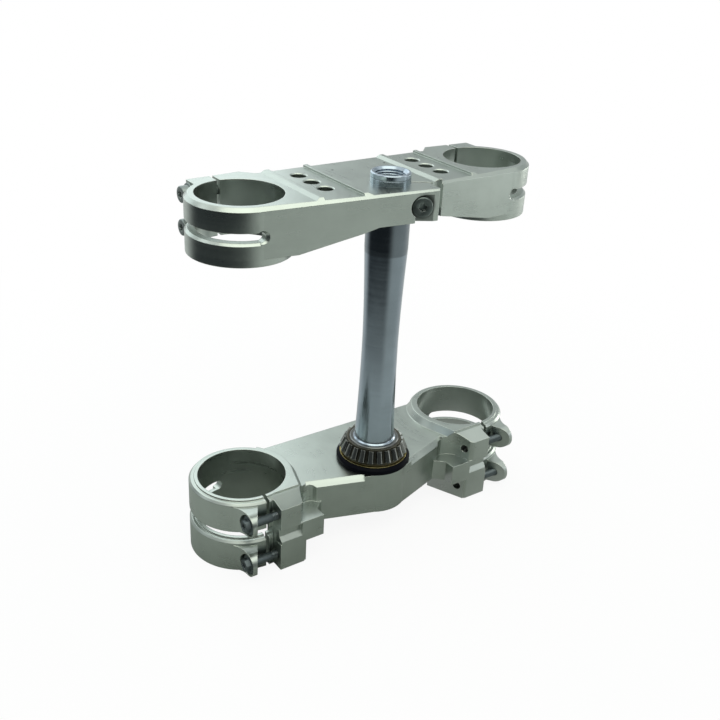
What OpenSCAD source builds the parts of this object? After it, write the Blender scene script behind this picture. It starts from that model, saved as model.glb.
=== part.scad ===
// Motorcycle triple clamp: an upper and a lower clamp on a hollow steering stem, with the lower steering bearing.
// Millimetres. +Z is up, +Y points forwards and X runs across. The origin is on the steering axis, in the plane of
// the lower bridge's underside, where the hollow stem ends.

/* [Layout] */
// Distance between the axes of the two fork legs
fork_span = 190; // [184:0.5:200]
// How far the fork legs stand in front of the steering axis
stem_offset = 21.5; // [20:0.25:23]
// Height between the top of the lower rings and the bottom of the upper rings
clamp_gap = 162.2; // [150:0.5:190]

/* [Upper clamp] */
// Diameter of the fork leg in the upper clamp
upper_leg_d = 54; // [52:0.5:55]
// Wall of the upper rings
upper_wall = 6; // [5.5:0.25:7]
// Height of the upper rings
upper_h = 35.5; // [34:0.25:38]
// Height of the slot that splits the upper ring in two bands
upper_slot_h = 6.2; // [4:0.1:7]
// Thickness of the upper bridge at the stem
upper_bridge_h = 20.3; // [18:0.1:22]
// Bevel along the top edge
upper_bevel = 2.4; // [1:0.1:3]
// Diameter of the handlebar mount holes
bar_hole_d = 10; // [8:0.5:11]
// Distance between the two rows of handlebar mount holes
bar_row_span = 90; // [86:0.5:94]
// Pitch of the three holes in a row
bar_hole_pitch = 15.5; // [14:0.25:17]

/* [Lower clamp] */
// Diameter of the fork leg in the lower clamp
lower_leg_d = 60; // [58:0.5:61]
// Wall of the lower rings
lower_wall = 6; // [5.5:0.25:7]
// Height of the lower rings
lower_h = 54; // [52:0.5:58]
// Height of the slot that splits the lower ring in two bands
lower_slot_h = 7.3; // [5:0.1:9]
// Thickness of the lower bridge
lower_bridge_h = 31; // [29:0.25:33]
// How far the lower rings reach below the bridge
lower_drop = 18; // [16:0.25:20]

/* [Stem and bearing] */
// Diameter of the stem where it passes the upper clamp
stem_top_d = 26; // [24:0.25:27]
// Diameter of the stem's seat for the upper bearing
stem_seat_d = 28.5; // [27:0.25:30]
// Diameter of the stem at its waist
stem_waist_d = 24.4; // [21:0.1:25]
// Diameter of the hole through the stem
stem_hole_d = 18; // [14:0.5:18.5]
// Bore of the lower bearing, and diameter of the stem in it
bearing_bore_d = 30; // [29:0.25:32]
// Width of the bearing's inner ring
bearing_w = 17; // [16:0.25:18]
// Outer diameter of the rubber seal under the bearing
seal_d = 52.6; // [50:0.2:56]
// Number of tapered rollers
roller_count = 22; // [18:1:22]

/* [Fasteners] */
// Shank diameter of the pinch bolts
bolt_d = 6; // [5:0.1:6.4]
// Width of the slits that the pinch bolts close
slit_w = 2.3; // [1.5:0.1:3]

/* [Hidden] */

// Number of sides of the round cuts
$fn = 96;

fork_x = fork_span / 2;
lower_bore_r = lower_leg_d / 2;
lower_ring_r = lower_bore_r + lower_wall;
upper_bore_r = upper_leg_d / 2;
upper_ring_r = upper_bore_r + upper_wall;

// Heights of the lower clamp
lower_bottom = -lower_drop;
lower_top = lower_bottom + lower_h;
platform_rise = lower_top - lower_bridge_h;
lower_slot_bottom = lower_bottom + 24;
lower_slot_top = lower_slot_bottom + lower_slot_h;

// Heights of the upper clamp
upper_bottom = lower_top + clamp_gap;
upper_top = upper_bottom + upper_h;
upper_slot_bottom = upper_bottom + 14.5;
upper_slot_top = upper_slot_bottom + upper_slot_h;
upper_bridge_bottom = upper_top - upper_bridge_h;

// Pinch bolts: clearance in the plain holes, and heads
bolt_clear = 0.3;
bolt_hole_r = bolt_d / 2 + bolt_clear;

// Lower ears and blocks, measured from the axis of the fork leg
ear_x = 17.7;
ear_blend_r = 16;
lobe_r = 8.6;
lower_bolt_y = -lower_ring_r - 4;
upper_lobe_z = lower_top - 12;
lower_lobe_z = lower_bottom + 10.5;
block_gap_x = -4.2;
block_in_x = -22;
block_y = lower_bolt_y - 6.2;
block_top_drop = 1;
block_slope = 15;
block_corner_r = 4;
seat_depth = 2;
seat_r = 7.5;

// Bosses and bolts of the upper ring, measured from the axis of the fork leg
boss_in_x = -20;
boss_out_x = 17;
boss_y = upper_ring_r + 4.2;
upper_bolt_y = upper_bore_r + bolt_d / 2 + 1.8;
upper_bolt_top_z = (upper_top + upper_slot_top) / 2;
upper_bolt_bottom_z = (upper_bottom + upper_slot_bottom) / 2;

// Bearing: seat, rings, rollers and cage
seat_rise = 0.5;
bearing_z = lower_bridge_h + seat_rise;
bearing_r = bearing_bore_d / 2;
seal_h = 4.8;
washer_h = 0.6;
washer_r = 24;
run_clear = 0.05;
cage_t = 0.8;
cage_h = 10.5;

// Points along an arc from angle a0 to a1 round [cx, cy]
function arc(cx, cy, r, a0, a1, n = 8) =
    [for (i = [0:n]) let (a = a0 + (a1 - a0) * i / n) [cx + r * cos(a), cy + r * sin(a)]];

// Points along a curve from a to c that b pulls towards itself
function bend(a, b, c, n = 6) =
    [for (i = [0:n]) let (t = i / n) (1 - t) * (1 - t) * a + 2 * t * (1 - t) * b + t * t * c];

// The straight edges run this much inside the rings that they touch
tangent_inset = 0.06;

// Point where a line from p touches a circle of radius r round c, on the side given as 1 or -1
function foot(c, r, p, side) =
    let (a = atan2(p[1] - c[1], p[0] - c[0]) + side * acos(r / norm(p - c))) c + r * [cos(a), sin(a)];

module circle_at(c, r) {
    translate(c) circle(r = r);
}

module both_sides() {
    children();
    mirror([1, 0, 0]) children();
}

// Places its children on the axis of the right fork leg
module at_fork() {
    translate([fork_x, stem_offset, 0]) children();
}

// A bar along X whose outline is drawn with Y to the right and Z upwards
module along_x(x0, x1) {
    translate([x0, 0, 0]) rotate([90, 0, 90]) linear_extrude(x1 - x0) children();
}

// A round bar along X
module rod_x(x0, x1, y, z, r) {
    translate([x0, y, z]) rotate([0, 90, 0]) cylinder(h = x1 - x0, r = r);
}

// Lower clamp

bridge_boss_r = 25.4;
bridge_front_y = stem_offset + 26.5;
bridge_near = [[8, -23.6], [fork_x - 40, -8.6], [fork_x - 26, -4]];

module lower_bridge_plan() {
    right = concat(bridge_near, [[fork_x, 0], [fork_x, bridge_front_y - 8], [fork_x - 24, bridge_front_y]]);
    circle(r = bridge_boss_r);
    polygon(concat(right, [for (i = [len(right) - 1:-1:0]) [-right[i][0], right[i][1]]]));
}

// Cutter for a bevel along the straight top edge from a to b, with the outside to the right of that way
module edge_bevel(a, b, top, size, before, after) {
    along = b - a;
    translate([a[0], a[1], 0]) rotate([0, 0, atan2(along[1], along[0])]) along_x(-before, norm(along) + after)
        polygon([[-1, top - size - 1], [-1, top + 2], [size + 2, top + 2]]);
}

bridge_bevel = 3.7;
bevel_start_x = bridge_boss_r - 5;

module lower_bridge_bevel() {
    slope = (bridge_near[1][1] - bridge_near[0][1]) / (bridge_near[1][0] - bridge_near[0][0]);
    start = [bevel_start_x, bridge_near[0][1] + slope * (bevel_start_x - bridge_near[0][0])];
    edge_bevel(start, bridge_near[1], lower_bridge_h, bridge_bevel, 0, 6);
}

// Stepped lip round the top of a band: radius, and depth below the band's top
lip = [[lower_bore_r + 2.3, 0], [lower_bore_r + 2.6, -1], [lower_bore_r + 4.6, -1], [lower_ring_r, -2.6]];

module lower_ring() {
    at_fork() rotate_extrude()
        polygon(concat([[lower_bore_r - 2, lower_bottom], [lower_bore_r - 2, lower_top]],
            [for (p = lip) [p[0], p[1] + lower_top]], [[lower_ring_r, lower_bottom]]));
}

// Flat top beside the ring, a little above the bridge: its wall slopes round the ring, then runs to the block
wall_top_r = lower_bore_r + 4.7;
wall_run = 3.3;
wall_turn = 198;
wall_start = 136;
platform_near = -lower_ring_r + 4.5;

module platform_profile(inner) {
    polygon([[inner, lower_bridge_h - 1], [wall_top_r + wall_run, lower_bridge_h - 1],
        [wall_top_r + wall_run, lower_bridge_h], [wall_top_r, lower_top], [inner, lower_top]]);
}

module lower_platform() {
    at_fork() {
        rotate([0, 0, wall_start]) rotate_extrude(angle = wall_turn - wall_start)
            platform_profile(lower_bore_r + 1.5);
        difference() {
            intersection() {
                rotate([0, 0, wall_turn + 90]) mirror([0, 1, 0])
                    along_x(0, lower_ring_r + 4) platform_profile(2);
                translate([-lower_ring_r - 10, platform_near, lower_bridge_h - 3])
                    cube([lower_ring_r + 9, 60, 20]);
            }
            translate([0, 0, lower_bridge_h - 4]) cylinder(h = platform_rise + 8, r = lower_bore_r + 1);
        }
    }
}

pocket_floor = lower_bottom + 34;
pocket_wall = concat(bend([-41.5, -30.5], [-36, -23], [-27.5, -31]),
    bend([-27.5, -31], [-24.8, -34], [block_in_x, block_y + block_corner_r]));

// Side of the block that faces the gap, with a round pocket beside the slit
block_gap_side = concat([[block_gap_x, block_y]], arc(0, lower_bolt_y + 2, -block_gap_x, 180, 105, 6), [[-1, -30]]);

// Block with the bolts' threads, beside the ring
module lower_block() {
    at_fork() {
        translate([0, 0, lower_bottom + 1]) linear_extrude(lower_drop)
            polygon(concat([[-36.9, -17.6], [-24.5, block_y + 0.6]], arc(-22.4, block_y + 1.5, 1.5, 200, 270, 3),
                block_gap_side, [[-20, 0]]));
        linear_extrude(pocket_floor)
            polygon(concat(bend([-48, -30.5], [-41, -33], [-36.3, -40.5], 9),
                bend([-36.3, -40.5], [-32.8, block_y], [block_in_x, block_y], 9),
                block_gap_side, [[-20, 0]]));
        linear_extrude(lower_bridge_h)
            polygon(concat([[-38, -23], [-38, block_y], [-30, block_y]], block_gap_side, [[-20, 0]]));
        linear_extrude(lower_top - block_top_drop)
            polygon(concat([[-28, -20], [-26.4, -30.4], [-28.2, -31.6], [-28.2, block_y]], block_gap_side,
                [[-20, 0]]));
    }
}

// Pocket between the bridge and the block
module lower_pocket() {
    translate([0, 0, pocket_floor]) linear_extrude(lower_h)
        polygon(concat(pocket_wall,
            arc(block_in_x + block_corner_r, block_y + block_corner_r, block_corner_r, 192, 262, 6),
            [[block_in_x + block_corner_r - 1, block_y - 10], [-44, block_y - 10]]));
}

// Two ears that the bolts pull towards the block
module lower_ear_plan() {
    cx = ear_x + ear_blend_r;
    cy = -sqrt(pow(lower_ring_r + ear_blend_r, 2) - cx * cx);
    polygon(concat([[1, -lower_ring_r + 4], [3.2, -lower_ring_r + 5.2]],
        bend([3.2, -lower_ring_r + 5.2], [6.5, -lower_ring_r + 4], [8, -lower_ring_r - 0.5]),
        [[ear_x - 2.6, lower_bolt_y - lobe_r], [ear_x, lower_bolt_y - lobe_r - 0.1]],
        arc(cx, cy, ear_blend_r, 176, 90 + atan2(cx, -cy), 6),
        [[20, -lower_ring_r + 16]]));
}

// Outline of one ear: a round lobe about the bolt that widens towards its band, which runs from z0 to z1
module lower_ear_side(z, z0, z1) {
    axis = [lower_bolt_y, z];
    low = [lower_bolt_y + 22, z0];
    high = [lower_bolt_y + 22, z1];
    circle_at(axis, lobe_r);
    r = lobe_r - tangent_inset;
    polygon([foot(axis, r, low, -1), low, high, foot(axis, r, high, 1), axis]);
}

module lower_ears() {
    drop = lip[3][1];
    at_fork() intersection() {
        translate([0, 0, lower_bottom]) linear_extrude(lower_h) lower_ear_plan();
        union() {
            along_x(0, ear_x + 20) lower_ear_side(upper_lobe_z, lower_slot_top, lower_top + drop);
            along_x(0, ear_x + 20) lower_ear_side(lower_lobe_z, lower_bottom, lower_slot_bottom + drop);
        }
    }
}

// Horizontal slot that parts the ring into two bands on its outer side
module lower_band_slot() {
    end_r = lower_slot_h / 2;
    turn = 90 - atan2(end_r, lower_bore_r);
    at_fork() {
        rotate([0, 0, -96]) rotate_extrude(angle = 96 + turn)
            polygon(concat([[lower_bore_r - 3, lower_slot_bottom], [lower_bore_r + 2.3, lower_slot_bottom]],
                [for (p = lip) [p[0], p[1] + lower_slot_bottom]],
                [[lower_ring_r + 14, lower_slot_bottom - 2.6], [lower_ring_r + 14, lower_slot_top],
                [lower_bore_r - 3, lower_slot_top]]));
        rotate([0, 0, turn]) rod_x(lower_bore_r - 3, lower_ring_r + 3, 0, lower_slot_bottom + end_r, end_r);
    }
}

module lower_cuts() {
    at_fork() {
        translate([0, 0, lower_bottom - 1]) cylinder(h = lower_h + 2, r = lower_bore_r, $fn = 180);
        translate([-slit_w / 2, -lower_ring_r - 4, lower_bottom - 1]) cube([slit_w, lower_ring_r, lower_h + 2]);
        for (z = [upper_lobe_z, lower_lobe_z]) {
            rod_x(block_gap_x - 40, block_gap_x + 4, lower_bolt_y, z, bolt_d / 2);
            rod_x(0, ear_x + 4, lower_bolt_y, z, bolt_hole_r);
            rod_x(ear_x - seat_depth, ear_x + 6, lower_bolt_y, z, seat_r);
        }
        // groove across the near face of the block
        along_x(-21, block_gap_x + 1)
            polygon([[block_y - 1, lower_slot_top + 1.5], [block_y + 3, lower_slot_top + 1.5],
                [block_y + 3, lower_slot_bottom + 2.5], [block_y - 1, lower_slot_bottom - 2]]);
        // sloping top of the block
        translate([-30, -lower_ring_r + 2.8, lower_top - block_top_drop])
            rotate([block_slope, 0, 0])
                translate([0, -30, 0]) cube([29, 30, 6]);
    }
    at_fork() lower_pocket();
    lower_band_slot();
}

module lower_clamp() {
    color("#9aa096") difference() {
        union() {
            linear_extrude(lower_bridge_h) lower_bridge_plan();
            both_sides() {
                lower_ring();
                lower_platform();
                lower_block();
                lower_ears();
            }
            cylinder(h = bearing_z, r = bearing_r + 5.5);
        }
        both_sides() {
            lower_cuts();
            lower_bridge_bevel();
        }
        translate([0, 0, -1]) cylinder(h = bearing_z + 2, r = bearing_r);
    }
}

// Upper clamp

pinch_angle = -29;
pinch_ear_x = 20.1;
pinch_ear_y = -26.6;
pinch_bolt_x = stem_top_d / 2 + 5.2;
pinch_bolt_z = upper_top - 10.3;
pinch_seat_y = -15.5;
pinch_seat_r = 7.3;
pinch_reach = 14;
relief_r = 5.6;
rib_rise = 1.5;
upper_front_y = stem_offset + 30.5;
spot_r = 6.9;

left_ring = [-fork_x, stem_offset];
right_ring = [fork_x, stem_offset];
ear_corner = [pinch_ear_x - 1.5, pinch_ear_y];
wing_start = [pinch_ear_x + 2 * relief_r, stem_offset - 36.1];
left_touch = foot(left_ring, upper_ring_r - tangent_inset, ear_corner, -1);
right_touch = foot(right_ring, upper_ring_r - tangent_inset, wing_start, 1);

// The rear edges touch the rings, and the left one ends in the ear of the stem's pinch bolt
module upper_plan() {
    polygon(concat(
        [[-fork_x + 28, upper_front_y], [-fork_x - boss_in_x, stem_offset + boss_y + 1.2], left_ring, left_touch,
        ear_corner, [pinch_ear_x, pinch_ear_y + 1.5]],
        arc(pinch_ear_x + relief_r, stem_offset - 39.1, relief_r, 180, 25, 10),
        [wing_start, right_touch, right_ring, [fork_x + boss_in_x, stem_offset + boss_y + 1.2],
        [fork_x - 28, upper_front_y]]));
}

// Side view of the bridge: it grows thicker towards the rings, and two ribs cross its top on each side
module upper_side() {
    reach = fork_x + 6;
    half = [[22, upper_bridge_bottom], [33, upper_bridge_bottom - 2.8], [53, upper_bridge_bottom - 6.6],
        [fork_x - 20, upper_bridge_bottom - 10.9], [reach, upper_bridge_bottom - 10.9], [reach, upper_top],
        [63.5, upper_top], [60.7, upper_top + rib_rise], [58, upper_top + rib_rise], [58, upper_top],
        [32, upper_top], [32, upper_top + rib_rise], [29, upper_top + rib_rise], [26, upper_top]];
    polygon(concat(half, [for (i = [len(half) - 1:-1:0]) [-half[i][0], half[i][1]]]));
}

module upper_ring() {
    at_fork() {
        rotate_extrude()
            polygon([[upper_bore_r - 2, upper_bottom], [upper_ring_r, upper_bottom],
                [upper_ring_r, upper_top - upper_bevel], [upper_ring_r - upper_bevel, upper_top],
                [upper_bore_r - 2, upper_top]]);
        translate([0, 0, upper_bottom]) linear_extrude(upper_h)
            polygon([[boss_in_x, 18], [boss_in_x, boss_y + 1.2], [0, boss_y], [boss_out_x, boss_y - 0.6],
                [boss_out_x, 18]]);
    }
}

// Slot that parts the ring in two bands on its outer side, with a bevel along its lower edge and round its end
module upper_band_slot() {
    r = upper_slot_h / 2;
    edge = 1.6;
    end_edge = 1.2;
    at_fork() {
        translate([r, -upper_ring_r - 6, upper_slot_bottom])
            cube([upper_ring_r + 4, 2 * upper_ring_r + 20, upper_slot_h]);
        translate([r, upper_ring_r + 14, upper_slot_bottom + r]) rotate([90, 0, 0])
            cylinder(h = 2 * upper_ring_r + 20, r = r);
        translate([r, -upper_ring_r + end_edge, upper_slot_bottom + r]) rotate([90, 0, 0])
            cylinder(h = end_edge + 1, r1 = r, r2 = r + end_edge + 1);
        rotate([0, 0, -83]) rotate_extrude(angle = 137)
            polygon([[upper_ring_r - edge - 0.3, upper_slot_bottom + 0.3],
                [upper_ring_r + 1, upper_slot_bottom - edge - 1],
                [upper_ring_r + 1, upper_slot_bottom + 0.3]]);
    }
}

// Slit through the stem's bore, with the pinch bolt's hole and the deep seat of its head, open at the bottom
module stem_pinch_cuts() {
    reach = 60;
    rotate([0, 0, pinch_angle]) {
        translate([stem_top_d / 2 - 2, -0.6, upper_bottom]) cube([26, 1.2, upper_h + 4]);
        translate([pinch_bolt_x, 0, pinch_bolt_z]) rotate([-90, 0, 0]) {
            translate([0, 0, -reach]) cylinder(h = reach, r = bolt_hole_r);
            cylinder(h = pinch_reach + 2, r = bolt_d / 2);
            translate([0, 0, -reach]) linear_extrude(reach + pinch_seat_y)
                polygon(concat(arc(0, 0, pinch_seat_r, 126, 270, 24), [[30, -pinch_seat_r], [30, 20], [-4.3, 20]]));
        }
    }
}

module upper_clamp() {
    color("#a2a79c") difference() {
        union() {
            intersection() {
                translate([0, 0, upper_bottom]) linear_extrude(upper_h + rib_rise) upper_plan();
                translate([0, 2 * fork_x, 0]) rotate([90, 0, 0]) linear_extrude(4 * fork_x) upper_side();
            }
            both_sides() upper_ring();
        }
        both_sides() {
            at_fork() {
                translate([0, 0, upper_bottom - 1]) cylinder(h = upper_h + 2, r = upper_bore_r, $fn = 180);
                translate([-slit_w / 2, 0, upper_bottom - 1]) cube([slit_w, upper_ring_r + 12, upper_h + 2]);
                for (z = [upper_bolt_top_z, upper_bolt_bottom_z]) {
                    rod_x(-17, 1, upper_bolt_y, z, bolt_d / 2);
                    rod_x(0, boss_out_x + 3, upper_bolt_y, z, bolt_hole_r);
                    rod_x(boss_out_x, upper_ring_r, upper_bolt_y, z, spot_r);
                }
            }
            upper_band_slot();
            for (i = [-1:1]) translate([bar_row_span / 2, stem_offset - 0.5 + i * bar_hole_pitch, 0]) {
                translate([0, 0, upper_bottom - 1]) cylinder(h = upper_h + 4, r = bar_hole_d / 2, $fn = 48);
                translate([0, 0, upper_top - 0.65])
                    cylinder(h = 1.3, r1 = bar_hole_d / 2, r2 = bar_hole_d / 2 + 1.3, $fn = 48);
            }
        }
        // the bevels along the rear edges grow narrower towards the stem
        edge_bevel(left_touch, ear_corner - [0, upper_bevel / 2], upper_top, upper_bevel, 4, 4);
        edge_bevel(wing_start - [0, upper_bevel / 2], right_touch, upper_top, upper_bevel, 1, 4);
        stem_pinch_cuts();
        translate([0, 0, upper_bottom - 1]) cylinder(h = upper_h + 4, r = stem_top_d / 2);
    }
}

// Steering stem: hollow, waisted between its two bearing seats

stem_rim = upper_top + 6.9;
stem_shoulder = upper_bridge_bottom;
thread_r = 9.9;
thread_h = 28;

module steering_stem() {
    foot_top = bearing_z + bearing_w;
    waist_z = (foot_top + stem_shoulder) / 2 - 7;
    waist = [stem_waist_d / 2, waist_z];
    seat_low = stem_shoulder - 22;
    color("#b9c0c6") difference() {
        rotate_extrude($fn = 120)
            polygon(concat([[0, 0], [bearing_r, 0], [bearing_r, foot_top], [bearing_r - 1, foot_top + 1]],
                bend([bearing_r - 1.1, foot_top + 3], [stem_waist_d / 2 + 0.1, waist_z - 34], waist),
                bend(waist, [stem_waist_d / 2 + 0.2, waist_z + 31], [stem_seat_d / 2, seat_low]),
                [[stem_seat_d / 2, stem_shoulder], [stem_top_d / 2, stem_shoulder],
                [stem_top_d / 2, stem_rim - 0.6], [stem_top_d / 2 - 0.6, stem_rim], [0, stem_rim]]));
        translate([0, 0, -1]) cylinder(h = stem_rim + 2, r = stem_hole_d / 2);
        translate([0, 0, stem_rim - thread_h]) cylinder(h = thread_h + 1, r = thread_r);
        translate([0, 0, stem_rim - 1.5]) cylinder(h = 2, r1 = thread_r, r2 = thread_r + 2);
    }
}

// Lower bearing: the inner ring with its tapered race, the rollers in their cage, and the seal under them

rib_r = bearing_r + 7;
rib_h = 6;
race_low = [bearing_r + 4.7, bearing_z + rib_h + 0.3];
roller_low_r = 2.5;
roller_high_r = 2.05;
roller_len = 8.6;
roller_half_angle = atan2(roller_low_r - roller_high_r, roller_len);
roller_tilt = 19.9;
race_slope = roller_tilt - roller_half_angle;

module bearing_inner_ring() {
    race_h = bearing_w - rib_h - 2.6;
    color("#8d9499") rotate_extrude()
        polygon([[bearing_r, bearing_z], [rib_r - 0.4, bearing_z], [rib_r, bearing_z + 0.4],
            [rib_r, bearing_z + rib_h - 0.2], [rib_r - 0.2, bearing_z + rib_h], [race_low[0] + 0.4, bearing_z + rib_h],
            race_low, [race_low[0] - race_h * tan(race_slope), race_low[1] + race_h],
            [bearing_r + 2.6, bearing_z + bearing_w - 2], [bearing_r + 2.6, bearing_z + bearing_w - 0.6],
            [bearing_r + 2, bearing_z + bearing_w], [bearing_r, bearing_z + bearing_w]]);
}

module bearing_washer() {
    color("#b09a5c") translate([0, 0, lower_bridge_h + seal_h]) difference() {
        cylinder(h = washer_h, r = washer_r);
        translate([0, 0, -1]) cylinder(h = washer_h + 2, r = rib_r);
    }
}

module bearing_seal() {
    color("#22262b") translate([0, 0, lower_bridge_h]) rotate_extrude()
        polygon([[rib_r, 0], [seal_d / 2 - 0.6, 0], [seal_d / 2, 1], [seal_d / 2, seal_h - 1.6],
            [seal_d / 2 - 1.2, seal_h - 0.4], [washer_r + 0.6, seal_h], [rib_r, seal_h]]);
}

// The rollers stand round the race with their small ends up, leaning inwards
module roller_places() {
    base_x = race_low[0] + (roller_low_r + run_clear) * cos(roller_tilt);
    base_z = race_low[1] + roller_low_r * sin(roller_tilt);
    for (i = [0:roller_count - 1]) rotate([0, 0, i * 360 / roller_count])
        translate([base_x, 0, base_z]) rotate([0, -roller_tilt, 0]) children();
}

module bearing_rollers() {
    color("#a8adb0") roller_places() cylinder(h = roller_len, r1 = roller_low_r, r2 = roller_high_r, $fn = 32);
}

// Pressed cage: a cone of sheet with a window for each roller, turned in at the top
module bearing_cage() {
    low = [bearing_r + 8, bearing_z + 5.85];
    high = [low[0] - cage_h * tan(roller_tilt), low[1] + cage_h];
    inset = cage_t / cos(roller_tilt);
    gap = 0.15;
    color("#6f6a58") difference() {
        rotate_extrude()
            polygon([low, high, [high[0] - 1.4, high[1]], [high[0] - 1.4, high[1] - cage_t],
                [high[0] - inset + 0.1, high[1] - cage_t], [low[0] - inset, low[1]]]);
        roller_places() translate([-5, 0, 0]) rotate([90, 0, 90]) linear_extrude(10)
            polygon([[-roller_low_r - gap, -gap], [roller_low_r + gap, -gap],
                [roller_high_r + gap, roller_len + gap], [-roller_high_r - gap, roller_len + gap]]);
    }
}

// Bolts

module lower_bolt(z) {
    at_fork() {
        rod_x(-14.3, ear_x - seat_depth, lower_bolt_y, z, bolt_d / 2);
        rod_x(ear_x - seat_depth, ear_x - seat_depth + 1.4, lower_bolt_y, z, 6.8);
        difference() {
            translate([ear_x - seat_depth, lower_bolt_y, z]) rotate([0, 90, 0]) cylinder(h = 5, r = 4.6, $fn = 6);
            translate([ear_x - seat_depth + 2, lower_bolt_y, z]) rotate([0, 90, 0]) cylinder(h = 5, r = 2.6, $fn = 6);
        }
    }
}

module upper_bolt(z) {
    at_fork() {
        rod_x(-17, boss_out_x, upper_bolt_y, z, bolt_d / 2);
        rod_x(boss_out_x, boss_out_x + 1.4, upper_bolt_y, z, spot_r - 0.4);
        difference() {
            rod_x(boss_out_x + 1, boss_out_x + 6.5, upper_bolt_y, z, 5.2);
            translate([boss_out_x + 3.5, upper_bolt_y, z]) rotate([0, 90, 0]) cylinder(h = 5, r = 2.6, $fn = 6);
        }
    }
}

module left_side() {
    mirror([1, 0, 0]) children();
}

module stem_pinch_bolt() {
    head_h = 4.6;
    color("#7d8584") rotate([0, 0, pinch_angle])
        translate([pinch_bolt_x, pinch_seat_y, pinch_bolt_z]) rotate([-90, 0, 0]) {
        cylinder(h = pinch_reach - pinch_seat_y, r = bolt_d / 2);
        difference() {
            translate([0, 0, -head_h]) cylinder(h = head_h, r = pinch_seat_r - 0.8);
            translate([0, 0, -head_h - 1]) cylinder(h = 3.5, r = 2.8, $fn = 6);
        }
    }
}

upper_clamp();
lower_clamp();
steering_stem();
bearing_inner_ring();
bearing_cage();
bearing_rollers();
bearing_washer();
bearing_seal();
left_side() upper_bolt(upper_bolt_top_z);  // upper_bolt_left_top
left_side() upper_bolt(upper_bolt_bottom_z);  // upper_bolt_left_bottom
upper_bolt(upper_bolt_top_z);  // upper_bolt_right_top
upper_bolt(upper_bolt_bottom_z);  // upper_bolt_right_bottom
left_side() lower_bolt(upper_lobe_z);  // lower_bolt_left_top
left_side() lower_bolt(lower_lobe_z);  // lower_bolt_left_bottom
lower_bolt(upper_lobe_z);  // lower_bolt_right_top
lower_bolt(lower_lobe_z);  // lower_bolt_right_bottom
stem_pinch_bolt();
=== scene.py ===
# %% [markdown]
# A motorcycle triple clamp: two machined clamps that hold the fork legs, joined by a hollow steering stem. Near the
# stem's foot sits the lower steering bearing on its rubber seal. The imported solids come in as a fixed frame, in
# metres, and each of them keeps its place. This script gives them their finish, puts detailed bolts in the place of
# the plain ones, and cuts the threads that can be seen.

# %% Load the frame
import math

import bpy
from mathutils import Matrix, Vector


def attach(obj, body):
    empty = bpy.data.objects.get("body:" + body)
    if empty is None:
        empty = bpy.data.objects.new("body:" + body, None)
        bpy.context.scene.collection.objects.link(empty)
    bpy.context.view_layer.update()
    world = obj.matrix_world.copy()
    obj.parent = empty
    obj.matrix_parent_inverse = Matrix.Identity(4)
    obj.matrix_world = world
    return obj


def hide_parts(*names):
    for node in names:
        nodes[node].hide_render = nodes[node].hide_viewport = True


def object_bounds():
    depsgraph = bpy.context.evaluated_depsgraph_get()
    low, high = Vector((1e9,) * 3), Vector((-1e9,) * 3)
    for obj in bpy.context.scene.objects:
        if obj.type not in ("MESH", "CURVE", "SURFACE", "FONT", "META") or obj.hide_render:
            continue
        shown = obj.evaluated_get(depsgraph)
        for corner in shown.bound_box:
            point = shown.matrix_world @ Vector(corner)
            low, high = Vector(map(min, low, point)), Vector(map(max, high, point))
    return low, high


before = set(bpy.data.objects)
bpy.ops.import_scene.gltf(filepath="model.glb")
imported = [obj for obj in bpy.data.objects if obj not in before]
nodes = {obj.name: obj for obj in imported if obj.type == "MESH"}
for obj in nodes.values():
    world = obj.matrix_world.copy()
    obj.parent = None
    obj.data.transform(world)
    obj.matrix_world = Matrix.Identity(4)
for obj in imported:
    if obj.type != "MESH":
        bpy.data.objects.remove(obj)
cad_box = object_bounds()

print("CAD nodes:", len(nodes), "box:", [round(v, 4) for v in (*cad_box[0], *cad_box[1])])

# %% [markdown]
# The camera stands where the photographer stood: a little to the left of the object and above it, close enough
# that the near lower ring looks larger than the far one. A camera could be aimed at a point and moved until the
# picture fits. Here its angles and its place are written down as they were worked out from the round bores, whose
# real sizes are known, because a circle seen at a slant tells both the direction and the distance.

# %% Camera
AZIMUTH = math.radians(-36.29)
ELEVATION = math.radians(26.65)
ROLL = math.radians(3.15)
CAMERA_AT = Vector((-0.3549, -0.4615, 0.3998))
FOCAL_PIXELS = 949.5
PICTURE_PIXELS = 720
SENSOR_MM = 36.0
NEAREST_SEEN = 0.01


def add_camera():
    back = Vector((math.sin(AZIMUTH) * math.cos(ELEVATION), -math.cos(AZIMUTH) * math.cos(ELEVATION),
                   math.sin(ELEVATION)))
    right = (-back).cross(Vector((0, 0, 1))).normalized()
    up = right.cross(-back)
    side = math.cos(ROLL) * right + math.sin(ROLL) * up
    top = -math.sin(ROLL) * right + math.cos(ROLL) * up
    data = bpy.data.cameras.new("camera")
    data.sensor_width = SENSOR_MM
    data.lens = FOCAL_PIXELS / PICTURE_PIXELS * SENSOR_MM
    data.clip_start = NEAREST_SEEN
    camera = bpy.data.objects.new("camera", data)
    bpy.context.scene.collection.objects.link(camera)
    camera.matrix_world = Matrix((
        (side.x, top.x, back.x, CAMERA_AT.x),
        (side.y, top.y, back.y, CAMERA_AT.y),
        (side.z, top.z, back.z, CAMERA_AT.z),
        (0, 0, 0, 1)))
    bpy.context.scene.camera = camera
    return camera


camera = add_camera()
print("lens:", round(camera.data.lens, 2), "mm")

# %% [markdown]
# Every material, the floor's paper and the world are trees of shader nodes. Written out node by node they would fill
# pages, so a few small helpers stand for the steps that come back everywhere: add a node and wire it, do a sum, turn
# a range of values into another one, mix two colours, and measure a direction or a distance.

# %% Shader helpers
WHITE = (1, 1, 1, 1)


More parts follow.
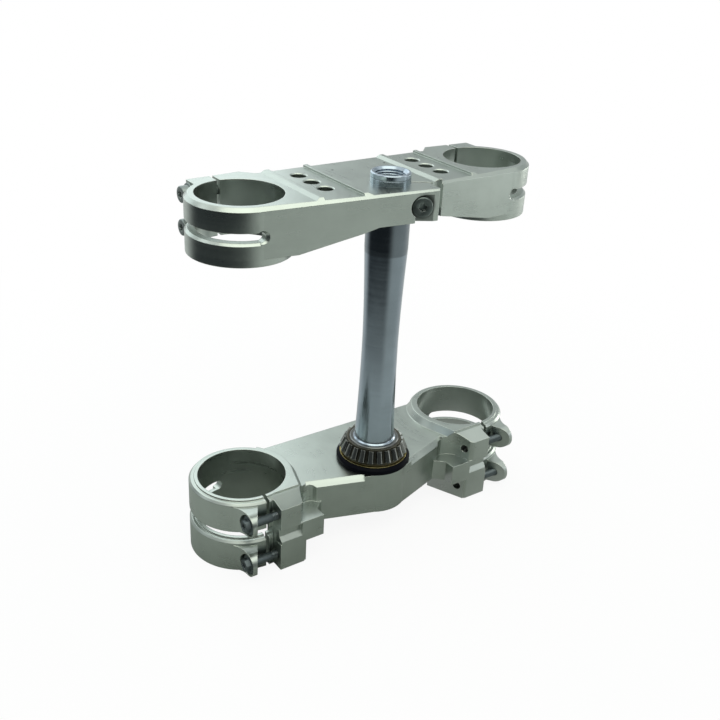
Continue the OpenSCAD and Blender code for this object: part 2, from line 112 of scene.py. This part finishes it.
def add_node(tree, kind, inputs=(), **settings):
    node = tree.nodes.new("ShaderNode" + kind)
    for name, value in settings.items():
        setattr(node, name, value)
    for key, value in dict(inputs).items():
        if isinstance(value, bpy.types.NodeSocket):
            tree.links.new(value, node.inputs[key])
        else:
            node.inputs[key].default_value = value
    return node


def maths(tree, operation, *values, clamp=False):
    return add_node(tree, "Math", dict(enumerate(values)), operation=operation, use_clamp=clamp).outputs[0]


def remap(tree, value, low, high, to_low=0.0, to_high=1.0):
    """Ease from to_low to to_high while the value goes from low to high, and stay there beyond them."""
    return add_node(tree, "MapRange", {"Value": value, "From Min": low, "From Max": high, "To Min": to_low,
                                       "To Max": to_high}, interpolation_type="SMOOTHSTEP").outputs[0]


def blend(tree, factor, a, b):
    return add_node(tree, "Mix", {0: factor, 6: a, 7: b}, data_type="RGBA").outputs[2]


def along(tree, direction, axis):
    return add_node(tree, "VectorMath", {0: direction, 1: axis}, operation="DOT_PRODUCT").outputs["Value"]


def distance_from(tree, vector, point):
    return add_node(tree, "VectorMath", {0: vector, 1: point}, operation="DISTANCE").outputs["Value"]


def split_axes(tree, vector):
    return add_node(tree, "SeparateXYZ", {0: vector}).outputs


print("shader helpers ready")

# %% [markdown]
# The picture has a pure white background, but bare metal shows what stands round it: here a room that is bright
# overhead, grey behind the object and dark round the camera. A photograph of a room could light the scene, and three
# lamps could do it too. The world is built from directions instead, because it is small, exact and easy to change.
# Light Path tells the rays apart: the camera sees white, and metal sees the room, with the white background low
# behind the object.

# %% World
TO_CAMERA = Vector((math.sin(AZIMUTH), -math.cos(AZIMUTH), 0))
DARK_SIDE = (0.075, 0.085, 0.085, 1)
BACK_WALL = (0.45, 0.49, 0.49, 1)
CEILING = (0.96, 1.0, 0.98, 1)
# Where the dark side gives way to the back wall, as the cosine of the angle from the camera's side
DARK_ENDS, WALL_FULL = 0.75, -0.55
# Where the walls give way to the ceiling, as the sine of the height
WALLS_END, CEILING_FULL = 0.45, 0.75
# The white background in mirrored light: how high it reaches, how far round, and its share
MIRRORED_TOP, MIRRORED_FULL = 0.28, 0.05
MIRRORED_SIDE, MIRRORED_BACK = -0.2, -0.7
MIRRORED_SHARE = 0.5


def add_world():
    world = bpy.data.worlds.new("studio")
    bpy.context.scene.world = world
    world.use_nodes = True
    tree = world.node_tree
    tree.nodes.clear()
    direction = add_node(tree, "TexCoord").outputs["Generated"]
    toward = along(tree, direction, TO_CAMERA)
    rise = split_axes(tree, direction)["Z"]
    walls = blend(tree, remap(tree, toward, DARK_ENDS, WALL_FULL), DARK_SIDE, BACK_WALL)
    room = blend(tree, remap(tree, rise, WALLS_END, CEILING_FULL), walls, CEILING)
    path = add_node(tree, "LightPath").outputs
    mirrored = maths(tree, "MAXIMUM", path["Is Glossy Ray"], path["Is Transmission Ray"])
    low = maths(tree, "MULTIPLY", remap(tree, rise, MIRRORED_TOP, MIRRORED_FULL, 0.0, MIRRORED_SHARE),
                remap(tree, toward, MIRRORED_SIDE, MIRRORED_BACK))
    white_share = maths(tree, "MAXIMUM", path["Is Camera Ray"], maths(tree, "MULTIPLY", mirrored, low))
    background = add_node(tree, "Background", {"Color": blend(tree, white_share, room, WHITE)})
    add_node(tree, "OutputWorld", {"Surface": background.outputs[0]})


add_world()
print("world: white to the camera, a dark room with a bright ceiling to the metal")

# %% [markdown]
# The object stands on a large sheet of pale paper. Near the object the sheet takes its shadow, and further out it
# turns to plain white, so that no edge shows against the background. In the metal the same sheet looks mid grey, and
# nearly black on the left in front, where the dark room would fall on it: that gives the left rings their dark
# fronts. All of it is one material, made of the distance and the direction from the steering axis.

# %% Floor
FLOOR_Z = cad_box[0].z
FLOOR_SIZE = 24
DARK_AZIMUTH = math.radians(-78)
TO_DARK = Vector((math.sin(DARK_AZIMUTH), -math.cos(DARK_AZIMUTH), 0))
PAPER = (0.86, 0.86, 0.86, 1)
MIRRORED_NEAR = (0.34, 0.36, 0.34, 1)
MIRRORED_FAR = (0.58, 0.60, 0.59, 1)
MIRRORED_DARK = (0.03, 0.035, 0.04, 1)


def paper_in_metal(tree, distance, direction):
    """The paper's colour as the metal mirrors it."""
    dark = maths(tree, "MULTIPLY", remap(tree, along(tree, direction, TO_DARK), 0.05, 0.68),
                 remap(tree, distance, 0.21, 0.43))
    lit = blend(tree, remap(tree, distance, 0.10, 0.35), MIRRORED_NEAR, MIRRORED_FAR)
    return blend(tree, dark, lit, MIRRORED_DARK)


def paper_material():
    material = bpy.data.materials.new("floor_paper")
    material.use_nodes = True
    tree = material.node_tree
    shader = tree.nodes["Principled BSDF"]
    place = add_node(tree, "TexCoord").outputs["Object"]
    distance = add_node(tree, "VectorMath", {0: place}, operation="LENGTH").outputs["Value"]
    direction = add_node(tree, "VectorMath", {0: place}, operation="NORMALIZE").outputs[0]
    path = add_node(tree, "LightPath").outputs
    colour = blend(tree, path["Is Glossy Ray"], PAPER, paper_in_metal(tree, distance, direction))
    tree.links.new(colour, shader.inputs["Base Color"])
    shader.inputs["Roughness"].default_value = 0.9
    shader.inputs["Specular IOR Level"].default_value = 0.1
    seen = maths(tree, "MULTIPLY", path["Is Camera Ray"], remap(tree, distance, 0.22, 0.6, 0.91, 1.0))
    behind = maths(tree, "MULTIPLY", path["Is Glossy Ray"],
                   remap(tree, along(tree, direction, TO_CAMERA), 0.0, -0.6, 0.0, 0.3))
    white = add_node(tree, "Emission", {"Color": WHITE})
    mix = add_node(tree, "MixShader", {0: maths(tree, "MAXIMUM", seen, behind), 1: shader.outputs[0],
                                       2: white.outputs[0]})
    tree.links.new(mix.outputs[0], tree.nodes["Material Output"].inputs["Surface"])
    return material


bpy.ops.object.select_all(action="DESELECT")
bpy.ops.mesh.primitive_plane_add(size=FLOOR_SIZE, location=(0, 0, FLOOR_Z))
floor = bpy.context.active_object
floor.name = "floor"
floor.data.materials.append(paper_material())
print("floor at z", round(FLOOR_Z, 4))

# %% [markdown]
# The light is soft and plain, as from white boxes round a product table: a large one above, a wide one behind that
# the flat tops mirror, and three weaker ones that brighten the bevels and the edges. Points of light would give hard
# sparks on the metal, so every lamp is a rectangle. The camera itself doesn't see them.

# %% Lamps
AIM = Vector((0, 0, 0.1))
# Name: place, width and height, power in watts, colour
LAMPS = {
    "top_box": ((-0.15, -0.50, 1.25), (1.5, 1.0), 4.8, (1.0, 1.0, 0.84)),
    "back_box": ((-0.02, 0.78, 0.54), (0.90, 0.55), 1.6, (0.90, 0.98, 1.0)),
    "right_box": ((0.95, 0.0, 0.16), (0.4, 0.20), 0.9, (1.0, 1.0, 0.94)),
    "left_box": ((-0.85, 0.45, 0.75), (0.5, 0.6), 0.7, (0.92, 0.98, 1.0)),
    "right_strip": ((0.95, -0.75, 0.3), (0.30, 0.8), 1.1, (0.96, 0.98, 1.0)),
}


def add_lamp(name, place, size, power, colour):
    data = bpy.data.lights.new(name, "AREA")
    data.shape = "RECTANGLE"
    data.size, data.size_y = size
    data.energy = power
    data.color = colour
    lamp = bpy.data.objects.new(name, data)
    bpy.context.scene.collection.objects.link(lamp)
    lamp.location = place
    lamp.rotation_euler = (Vector(place) - AIM).to_track_quat("Z", "Y").to_euler()
    lamp.visible_camera = False


for name, values in LAMPS.items():
    add_lamp(name, *values)
    print(name, "power", values[2], "size", values[1])

bpy.context.scene.view_settings.view_transform = "Standard"

# %% [markdown]
# No machined face is perfectly even. Each finish is made of the same few things: fine lines left by the tool, a soft
# mottling, tiny specks, and brighter edges, partly worn by handling and partly a painted highlight. Scanned pictures
# could give that, but noise on the object's own coordinates needs no files and has no seams. Stretched noise makes
# straight tool lines, and noise on distance and angle from an axis makes the rings of a lathe.

# %% Patterns
CLOUD_SCALE = 55
SPECK_SCALE = 700
# Scale of the noise that spreads the brighter edges, part wear and part painted highlight
EDGE_SPREAD_SCALE = 60
TURNED_ANGLE_SCALE = 0.004
LEG_AXIS = (0.095, 0.0215)


def noise(tree, vector, stretch, detail=3.0):
    place = add_node(tree, "Mapping", {"Vector": vector, "Scale": stretch}).outputs[0]
    return add_node(tree, "TexNoise", {"Vector": place, "Scale": 1.0, "Detail": detail}).outputs[0]


def turned(tree, vector, centre=(0, 0), both_sides=False):
    """Coordinates of a turned face: distance from the axis, angle and height, so that noise runs in rings."""
    axes = split_axes(tree, vector)
    x = maths(tree, "ABSOLUTE", axes["X"]) if both_sides else axes["X"]
    x = maths(tree, "SUBTRACT", x, centre[0])
    y = maths(tree, "SUBTRACT", axes["Y"], centre[1])
    radius = maths(tree, "SQRT", maths(tree, "ADD", maths(tree, "MULTIPLY", x, x), maths(tree, "MULTIPLY", y, y)))
    angle = maths(tree, "MULTIPLY", maths(tree, "ARCTAN2", y, x), TURNED_ANGLE_SCALE)
    return add_node(tree, "CombineXYZ", {0: radius, 1: angle, 2: axes["Z"]}).outputs[0]


def straight_lines(*stretch):
    return lambda tree, place: noise(tree, place, stretch)


def ring_lines(*stretch):
    return lambda tree, place: noise(tree, turned(tree, place), stretch)


def clamp_lines(tree, place):
    """Level brushing on the walls and in the bores, and arcs round the fork legs on the flat faces."""
    walls = noise(tree, place, (6, 6, 480), detail=0.5)
    arcs = noise(tree, turned(tree, place, LEG_AXIS, both_sides=True), (330, 5, 0), detail=0.0)
    normal = split_axes(tree, add_node(tree, "TexCoord").outputs["Normal"])["Z"]
    flat = remap(tree, maths(tree, "ABSOLUTE", normal), 0.75, 0.95)
    return add_node(tree, "Mix", {0: flat, 2: walls, 3: arcs}).outputs[0]


print("patterns ready")

# %% [markdown]
# One function builds every finish, so that they differ only in their values. The Bevel node gives a normal that is
# rounded near an edge. Where it leaves the flat normal there is an edge, and that difference is the mask of the
# brighter edges: partly wear, partly a painted highlight. The tool lines also drive a very shallow bump and a small
# change of roughness, as real brushing does.

# %% Build a finish
BEVEL_SAMPLES = 10
# Colour and strength shared by real marks and painted shade
DARK_MARK_AND_SHADE = (0.025, 0.027, 0.025, 1)
MARK_AND_SHADE_STRENGTH = 0.85
MARK_DEPTH = -20
WORN_GLOSS = -0.10
STREAK_STRENGTH = 0.45


def edge_mask(tree, radius):
    bevel = add_node(tree, "Bevel", {"Radius": radius}, samples=BEVEL_SAMPLES).outputs[0]
    flat = add_node(tree, "NewGeometry").outputs["Normal"]
    return bevel, remap(tree, maths(tree, "SUBTRACT", 1.0, along(tree, bevel, flat)), 0.012, 0.10)


def finish_surface(name, colour, worn_highlight, roughness, lines, line_depth, blotch=0.06, edge=0.0005, metallic=1.0,
                   specular=0.5, wear_and_highlight=0.75, marks_and_shade=None):
    """lines gives the tool lines, and marks_and_shade, where there are any, the masks of dark places (real marks and
    painted shade) and of sunk places.
    """
    material = bpy.data.materials.new(name)
    material.use_nodes = True
    tree = material.node_tree
    shader = tree.nodes["Principled BSDF"]
    shader.inputs["Metallic"].default_value = metallic
    shader.inputs["Specular IOR Level"].default_value = specular
    place = add_node(tree, "TexCoord").outputs["Object"]
    tool = lines(tree, place)
    cloud = noise(tree, place, (CLOUD_SCALE,) * 3, detail=4.0)
    specks = noise(tree, place, (SPECK_SCALE,) * 3, detail=0.0)
    bevel, edges = edge_mask(tree, edge)
    edge_spread = remap(tree, noise(tree, place, (EDGE_SPREAD_SCALE,) * 3, detail=0.0), 0.3, 0.6, 0.75, 1.0)
    worn_and_highlit_edges = maths(tree, "MULTIPLY", edges, edge_spread)

    shade = (*(c * (1 - blotch) for c in colour), 1)
    light = (*(min(1.0, c * (1 + blotch)) for c in colour), 1)
    base = blend(tree, remap(tree, cloud, 0.3, 0.7), shade, light)
    base = blend(tree, remap(tree, tool, 0.25, 0.75, 0.0, STREAK_STRENGTH), base, light)
    # Brighter colour along the edges: partly real wear, partly a painted highlight
    base = blend(tree, maths(tree, "MULTIPLY", worn_and_highlit_edges, wear_and_highlight), base, (*worn_highlight, 1))
    height = maths(tree, "MULTIPLY_ADD", specks, 0.15, tool)
    if marks_and_shade is not None:
        dark, sunk = marks_and_shade(tree, place)
        # Real marks and painted shade are darkened alike
        base = blend(tree, maths(tree, "MULTIPLY", dark, MARK_AND_SHADE_STRENGTH), base, DARK_MARK_AND_SHADE)
        height = maths(tree, "MULTIPLY_ADD", sunk, MARK_DEPTH, height)
    tree.links.new(base, shader.inputs["Base Color"])

    rough = maths(tree, "ADD", remap(tree, tool, 0.3, 0.7, roughness - 0.03, roughness + 0.03),
                  remap(tree, cloud, 0.3, 0.7, -0.02, 0.02))
    tree.links.new(maths(tree, "MULTIPLY_ADD", worn_and_highlit_edges, WORN_GLOSS, rough), shader.inputs["Roughness"])
    bump = add_node(tree, "Bump", {"Strength": 1.0, "Distance": line_depth, "Height": height, "Normal": bevel})
    tree.links.new(bump.outputs[0], shader.inputs["Normal"])
    return material


print("finish builder ready")

# %% [markdown]
# The clamps are milled aluminium with a thin grey-green anodised skin. Three places on them aren't plain: two small
# drilled dimples in the upper clamp's top, a painted shadow round the head of the stem's pinch bolt in its seat, and
# painted shade inside the threaded holes in the lower blocks. They could be separate pieces, but they are only a
# change of colour on the same skin, so each is a mask measured from its own axis.

# %% Finish of the clamps
MM = 0.001
DIMPLES = ((-0.0185, 0.0379), (0.0230, 0.0380))
DIMPLE_R = 0.0011
DIMPLES_ABOVE = 0.23
# Under the pinch bolt's head, in millimetres, before the turn about the stem's axis
PINCH_TURN = math.radians(-29)
PINCH_PLACE = (18.2, -15.5, 223.4)
# Where the painted shadow round the pinch bolt's head is full and where it fades out
SEAT_R, SEAT_FADE_R = 0.0070, 0.0098
# The axes of the lower bolts, in millimetres
LOWER_BOLT_Y = -18.5
LOWER_HEIGHTS = {"top": 24.0, "bottom": -7.5}
HOLE_R = 0.0030
BLOCK_INNER_X = 0.0735


def dimples(tree, place):
    axes = split_axes(tree, place)
    level = add_node(tree, "CombineXYZ", {0: axes["X"], 1: axes["Y"]}).outputs[0]
    masks = [remap(tree, distance_from(tree, level, (x, y, 0)), DIMPLE_R, 0.7 * DIMPLE_R) for x, y in DIMPLES]
    upper = maths(tree, "GREATER_THAN", axes["Z"], DIMPLES_ABOVE)
    return maths(tree, "MULTIPLY", maths(tree, "ADD", *masks, clamp=True), upper)


def seat_shade(tree, place):
    """Painted shadow round the head, from 6 mm before the seat's face to 1.5 mm behind it."""
    x, y, z = (v * MM for v in PINCH_PLACE)
    axes = split_axes(tree, add_node(tree, "Mapping", {"Vector": place, "Rotation": (0, 0, -PINCH_TURN)}).outputs[0])
    face = add_node(tree, "CombineXYZ", {0: axes["X"], 2: axes["Z"]}).outputs[0]
    away = distance_from(tree, face, (x, 0, z))
    depth = maths(tree, "MULTIPLY", remap(tree, axes["Y"], y - 0.006, y - 0.001),
                  remap(tree, axes["Y"], y + 0.0015, y + 0.0008))
    return maths(tree, "MULTIPLY", depth, remap(tree, away, SEAT_FADE_R, SEAT_R, 0.0, 0.85))


def hole_shade(tree, place):
    # Painted shade inside the ends of the lower bolts' holes in the blocks
    axes = split_axes(tree, place)
    face = add_node(tree, "CombineXYZ", {0: 0.0, 1: axes["Y"], 2: axes["Z"]}).outputs[0]
    centres = [(0, LOWER_BOLT_Y * MM, z * MM) for z in LOWER_HEIGHTS.values()]
    masks = [remap(tree, distance_from(tree, face, centre), HOLE_R + 0.0002, HOLE_R) for centre in centres]
    outside = maths(tree, "GREATER_THAN", maths(tree, "ABSOLUTE", axes["X"]), BLOCK_INNER_X)
    return maths(tree, "MULTIPLY", maths(tree, "ADD", *masks, clamp=True), outside)


def clamp_marks_and_shade(tree, place):
    # The dimples are darkened and sunk; the seat and the holes get painted shade
    drilled = dimples(tree, place)
    shaded = maths(tree, "MAXIMUM", seat_shade(tree, place), hole_shade(tree, place))
    return maths(tree, "MAXIMUM", drilled, shaded), drilled


clamp_finish = finish_surface("anodised_clamp", (0.47, 0.515, 0.478), (0.74, 0.78, 0.70), 0.31, clamp_lines, 8e-6,
                              marks_and_shade=clamp_marks_and_shade)
print("clamps:", len(clamp_finish.node_tree.nodes), "nodes")

# %% [markdown]
# The stem is turned on a lathe, so its lines run level round it, and it is smoother and bluer than the clamps. Its
# upper half carries a painted dark reflection of the upper clamp, with a painted shadow as a dark collar right under
# the upper clamp, and a fine line is scribed round its rim. Height alone tells where these are, so the masks read
# only Z.

# %% Finish of the stem
RIM_LINE_Z = 0.2372
# Heights of the painted dark reflection on the upper half and of the painted shadow collar under the upper clamp
PAINTED_DARK_FROM, PAINTED_DARK_FULL, PAINTED_DARK = 0.05, 0.14, 0.42
COLLAR_SHADOW_FROM, COLLAR_SHADOW_FULL, COLLAR_SHADOW = 0.1865, 0.1885, 0.72
PAINTED_DARK_TOP = 0.2225


def stem_line_and_shade(tree, place):
    z = split_axes(tree, place)["Z"]
    line = remap(tree, maths(tree, "ABSOLUTE", maths(tree, "SUBTRACT", z, RIM_LINE_Z)), 0.00035, 0.0001, 0, 0.6)
    # Painted shade: a darker upper half and a darker collar under the upper clamp
    painted_dark = maths(tree, "MAXIMUM", remap(tree, z, PAINTED_DARK_FROM, PAINTED_DARK_FULL, 0.0, PAINTED_DARK),
                  remap(tree, z, COLLAR_SHADOW_FROM, COLLAR_SHADOW_FULL, 0.0, COLLAR_SHADOW))
    painted_dark = maths(tree, "MULTIPLY", painted_dark, remap(tree, z, PAINTED_DARK_TOP, PAINTED_DARK_TOP - 0.001))
    return maths(tree, "MAXIMUM", line, painted_dark), line


stem_finish = finish_surface("turned_stem", (0.42, 0.49, 0.56), (0.8, 0.84, 0.86), 0.20, ring_lines(0, 8, 420),
                             12e-6, blotch=0.10, marks_and_shade=stem_line_and_shade)
print("stem:", len(stem_finish.node_tree.nodes), "nodes")

# %% [markdown]
# The bearing is five things with five looks: a ground steel ring, mirror-like ground rollers, a dark pressed cage, a
# yellowish zinc-plated washer, and below them a seal of black rubber. Rubber is the only one that isn't metal, and it
# hardly shines. The rollers' lines run along their length, and all the others' run round the stem.

# %% Finishes of the bearing
ring_finish = finish_surface("ground_ring", (0.17, 0.175, 0.17), (0.5, 0.5, 0.48), 0.28,
                             ring_lines(2400, 20, 2400), 5e-6)
roller_finish = finish_surface("ground_roller", (0.26, 0.265, 0.25), (0.6, 0.6, 0.55), 0.17,
                               straight_lines(900, 900, 60), 3e-6, edge=0.0002)
cage_finish = finish_surface("pressed_cage", (0.085, 0.08, 0.062), (0.26, 0.25, 0.20), 0.36,
                             ring_lines(500, 60, 900), 8e-6, edge=0.0003)
washer_finish = finish_surface("zinc_washer", (0.50, 0.41, 0.16), (0.75, 0.66, 0.40), 0.28,
                               ring_lines(1500, 30, 1500), 5e-6, edge=0.0002)
seal_finish = finish_surface("rubber_seal", (0.002, 0.0025, 0.005), (0.006, 0.006, 0.009), 0.45,
                             ring_lines(900, 40, 900), 6e-6, metallic=0.0, specular=0.05, edge=0.0006, wear_and_highlight=0.4)
print("bearing: 5 finishes")

# %% [markdown]
# The bolts are steel with a dull coating: slate grey on the lower clamp, paler on the upper one, and a darker oily one
# in the stem's pinch. A coating is never even, so their mottling is the strongest of all.

# %% Finishes of the bolts
slate_finish = finish_surface("slate_bolt", (0.145, 0.172, 0.18), (0.42, 0.46, 0.46), 0.50,
                              straight_lines(500, 500, 500), 10e-6, blotch=0.18, edge=0.0003)
pale_bolt_finish = finish_surface("pale_bolt", (0.30, 0.34, 0.33), (0.62, 0.64, 0.62), 0.50,
                                  straight_lines(400, 400, 400), 8e-6, blotch=0.16, edge=0.0003)
pinch_finish = finish_surface("dark_bolt", (0.17, 0.20, 0.19), (0.50, 0.54, 0.52), 0.40,
                              ring_lines(400, 400, 400), 8e-6, blotch=0.2, edge=0.0004)
print("finishes in all:", len(bpy.data.materials))

# %% [markdown]
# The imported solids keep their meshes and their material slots. Only the material in each slot changes, by the node's
# own name.

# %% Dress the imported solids
FINISH = {
    "upper_clamp": clamp_finish, "lower_clamp": clamp_finish, "steering_stem": stem_finish,
    "bearing_inner_ring": ring_finish, "bearing_cage": cage_finish, "bearing_rollers": roller_finish,
    "bearing_washer": washer_finish, "bearing_seal": seal_finish, "stem_pinch_bolt": pinch_finish,
}

for name, solid in nodes.items():
    finish = FINISH.get(name)
    if finish is None:
        finish = pale_bolt_finish if name.startswith("upper_bolt") else slate_finish
    solid.data.materials.clear()
    solid.data.materials.append(finish)
print("dressed:", len(nodes), "solids")

# %% [markdown]
# The detailed pieces are modelled as by hand: a primitive at its size, then modifiers that are applied at once, so
# that the next step works on the finished mesh. An operator acts on all that is selected, so each helper first
# selects its own piece alone. Sizes are in millimetres until they reach Blender, as on a drawing.

# %% Modelling helpers
SMOOTH_BELOW = math.radians(32)


def choose(piece):
    bpy.ops.object.select_all(action="DESELECT")
    piece.select_set(True)
    bpy.context.view_layer.objects.active = piece


def cylinder(radius, low, high, sides=64):
    bpy.ops.object.select_all(action="DESELECT")
    bpy.ops.mesh.primitive_cylinder_add(vertices=sides, radius=radius * MM, depth=(high - low) * MM,
                                        location=(0, 0, (high + low) / 2 * MM))
    bpy.ops.object.transform_apply(location=True, rotation=True, scale=True)
    return bpy.context.active_object


def modify(piece, kind, **settings):
    choose(piece)
    modifier = piece.modifiers.new(kind.lower(), kind)
    for name, value in settings.items():
        setattr(modifier, name, value)
    bpy.ops.object.modifier_apply(modifier=modifier.name)


def combine(piece, other, operation):
    modify(piece, "BOOLEAN", object=other, operation=operation, solver="EXACT")
    bpy.data.meshes.remove(other.data)


def soften(piece, width, angle, segments):
    modify(piece, "BEVEL", width=width * MM, segments=segments, limit_method="ANGLE",
           angle_limit=math.radians(angle))


def smooth(piece):
    choose(piece)
    bpy.ops.object.shade_smooth_by_angle(angle=SMOOTH_BELOW)


def place_copy(model, name, matrix, finish):
    """A copy of the model with its own mesh, whose points are moved to where the piece belongs."""
    piece = bpy.data.objects.new(name, model.data.copy())
    bpy.context.scene.collection.objects.link(piece)
    piece.data.transform(matrix)
    piece.data.materials.clear()
    piece.data.materials.append(finish)
    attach(piece, "clamps")
    return piece


print("modelling helpers ready")

# %% [markdown]
# A thread is one triangular ridge wound round a core. It could be a bump in the material, but from close by and in
# the mesh itself only real ridges look cut. So a circle of three corners is laid flat beside the axis, the Screw
# modifier winds it up, and the two open ends are filled.

# %% Wind a thread
RIDGE_FOOT = 0.46


def model_thread(radius, crest, pitch, length, sides=40):
    """A ridge from the radius to the crest, wound from z = -length up to z = 0. Inner threads have crest < radius."""
    bpy.ops.object.select_all(action="DESELECT")
    bpy.ops.mesh.primitive_circle_add(vertices=3, radius=MM, fill_type="NOTHING")
    ridge = bpy.context.active_object
    corners = ((radius, -RIDGE_FOOT * pitch), (crest, 0), (radius, RIDGE_FOOT * pitch))
    for vertex, (x, z) in zip(ridge.data.vertices, corners):
        vertex.co = (x * MM, 0, (z - 0.5 * pitch - length) * MM)
    modify(ridge, "SCREW", screw_offset=pitch * MM, iterations=int(length / pitch), steps=sides, render_steps=sides)
    choose(ridge)
    bpy.ops.object.mode_set(mode="EDIT")
    bpy.ops.mesh.select_all(action="SELECT")
    bpy.ops.mesh.fill_holes(sides=3)
    bpy.ops.mesh.select_all(action="SELECT")
    bpy.ops.mesh.normals_make_consistent(inside=False)
    bpy.ops.object.mode_set(mode="OBJECT")
    return ridge


print("thread helper ready")

# %% [markdown]
# Nine bolts close the clamps, and they are of three kinds: hexagon flange bolts below, round flange bolts above, and
# one flat round head in the stem's pinch. All have a six-lobed socket. Each kind is modelled once at the origin, head
# up, from turned cylinders: the head and its flange with softened edges, the socket cut out of it, the plain shank,
# and the thinner core that carries the thread. The socket's tool is a cylinder whose radius swings six times round.

# %% Model the three kinds of bolt
BOLT_R = 3.0
THREAD_DEPTH = 0.5
THREAD_PITCH = 1.0
LOBE_MEAN, LOBE_SWING = 0.87, 0.13


def socket_tool(radius, low, high):
    lobes = cylinder(radius, low, high, 72)
    for vertex in lobes.data.vertices:
        angle = math.atan2(vertex.co.y, vertex.co.x)
        vertex.co.xy *= LOBE_MEAN + LOBE_SWING * math.cos(6 * angle)
    return lobes


def model_bolt(length, threaded, head, sides, flange, socket):
    """Under-head face at z = 0, the head above it. head and flange are radius and height, socket radius and depth."""
    head_r, head_h = head
    piece = cylinder(head_r, 0.1, head_h, sides)
    soften(piece, 0.55 if sides == 6 else 0.8, 60, 3)
    if flange:
        rim = cylinder(flange[0], 0, flange[1], 72)
        soften(rim, 0.4, 60, 3)
    else:
        rim = cylinder(head_r - 0.9, 0, 0.4)
    combine(piece, rim, "UNION")
    combine(piece, socket_tool(socket[0], head_h - socket[1], head_h + 1), "DIFFERENCE")

    thread_top = threaded - length
    shank = cylinder(BOLT_R, thread_top, 0.3, 48)
    core = cylinder(BOLT_R - THREAD_DEPTH, -length, thread_top + 0.2, 48)
    soften(core, 0.4, 60, 2)
    combine(piece, shank, "UNION")
    combine(piece, core, "UNION")
    soften(piece, 0.12, 40, 2)

    ridge = model_thread(BOLT_R - 0.6, BOLT_R - 0.02, THREAD_PITCH, threaded - 1.4)
    ridge.data.transform(Matrix.Translation((0, 0, (thread_top - 0.1) * MM)))
    choose(piece)
    ridge.select_set(True)
    bpy.ops.object.join()
    smooth(piece)
    return piece


lower_model = model_bolt(30, 14, (4.6, 5.0), 6, (6.8, 1.4), (2.6, 3.0))
upper_model = model_bolt(34, 16, (5.2, 6.5), 64, (6.5, 1.4), (2.6, 3.0))
pinch_model = model_bolt(29.5, 13, (6.5, 4.6), 72, None, (2.8, 2.6))
for model in (lower_model, upper_model, pinch_model):
    print("bolt:", len(model.data.polygons), "faces, box", [round(v / MM, 2) for v in model.dimensions])

# %% [markdown]
# The eight ring bolts lie across the slits, heads outwards, in the same places on both sides. Whoever tightened them
# stopped each at its own angle, so every copy gets its own turn. The pinch bolt lies at the slant of the slit behind
# the stem. Each copy takes the place of the plain bolt in the frame and rides with the clamps.

# %% Place the bolts
UPPER_HEIGHTS = {"top": 226.3, "bottom": 205.45}
# Clamp: model, finish, distance of the under-head face from the middle, y, heights
BOLT_PLACES = {
    "upper": (upper_model, pale_bolt_finish, 112.0, 53.3, UPPER_HEIGHTS),
    "lower": (lower_model, slate_finish, 110.7, LOWER_BOLT_Y, LOWER_HEIGHTS),
}
SIDES = {"left": -1, "right": 1}
BOLT_TURNS = {
    "upper_left_top": 12, "upper_left_bottom": 41, "upper_right_top": 27, "upper_right_bottom": 5,
    "lower_left_top": 8, "lower_left_bottom": 22, "lower_right_top": 47, "lower_right_bottom": 33,
}
PINCH_SOCKET_TURN = 15


def across(sign, x, y, z):
    """A place on the left or right, with the model's +Z turned outwards."""
    return Matrix.Translation((sign * x * MM, y * MM, z * MM)) @ Matrix.Rotation(sign * math.pi / 2, 4, "Y")


def turn(degrees):
    return Matrix.Rotation(math.radians(degrees), 4, "Z")


for clamp, (model, finish, x, y, heights) in BOLT_PLACES.items():
    for side, sign in SIDES.items():
        for level, z in heights.items():
            matrix = across(sign, x, y, z) @ turn(BOLT_TURNS[f"{clamp}_{side}_{level}"])
            bolt = place_copy(model, f"flange_bolt_{clamp}_{side}_{level}", matrix, finish)
            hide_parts(f"{clamp}_bolt_{side}_{level}")

matrix = (Matrix.Rotation(PINCH_TURN, 4, "Z") @ Matrix.Translation([v * MM for v in PINCH_PLACE])
          @ Matrix.Rotation(math.pi / 2, 4, "X") @ turn(PINCH_SOCKET_TURN))
pinch_bolt = place_copy(pinch_model, "socket_bolt_stem", matrix, pinch_finish)
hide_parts("stem_pinch_bolt")
for model in (lower_model, upper_model, pinch_model):
    bpy.data.meshes.remove(model.data)
print("bolts placed:", len(BOLT_TURNS) + 1)

# %% [markdown]
# Two kinds of inner thread can be seen: the fine one in the stem's mouth, for the top bolt that isn't fitted, and the
# ends of the bolts' holes in the lower blocks. They are wound in the same way, with the crest towards the axis. Each
# lies just inside the plain hole of its solid.

# %% Threads inside the stem and the blocks
STEM_RIM = 240.6
STEM_THREAD_DROP = 1.3
BLOCK_THREAD_X = 80.4

stem_thread = model_thread(9.93, 9.25, 1.5, 24.0, 72)
smooth(stem_thread)
place_copy(stem_thread, "stem_thread", Matrix.Translation((0, 0, (STEM_RIM - STEM_THREAD_DROP) * MM)), stem_finish)

hole_thread = model_thread(3.03, 2.55, THREAD_PITCH, 6.0)
smooth(hole_thread)
for side, sign in SIDES.items():
    for level, z in LOWER_HEIGHTS.items():
        place_copy(hole_thread, f"hole_thread_{side}_{level}", across(sign, BLOCK_THREAD_X, LOWER_BOLT_Y, z),
                   clamp_finish)
for model in (stem_thread, hole_thread):
    bpy.data.meshes.remove(model.data)
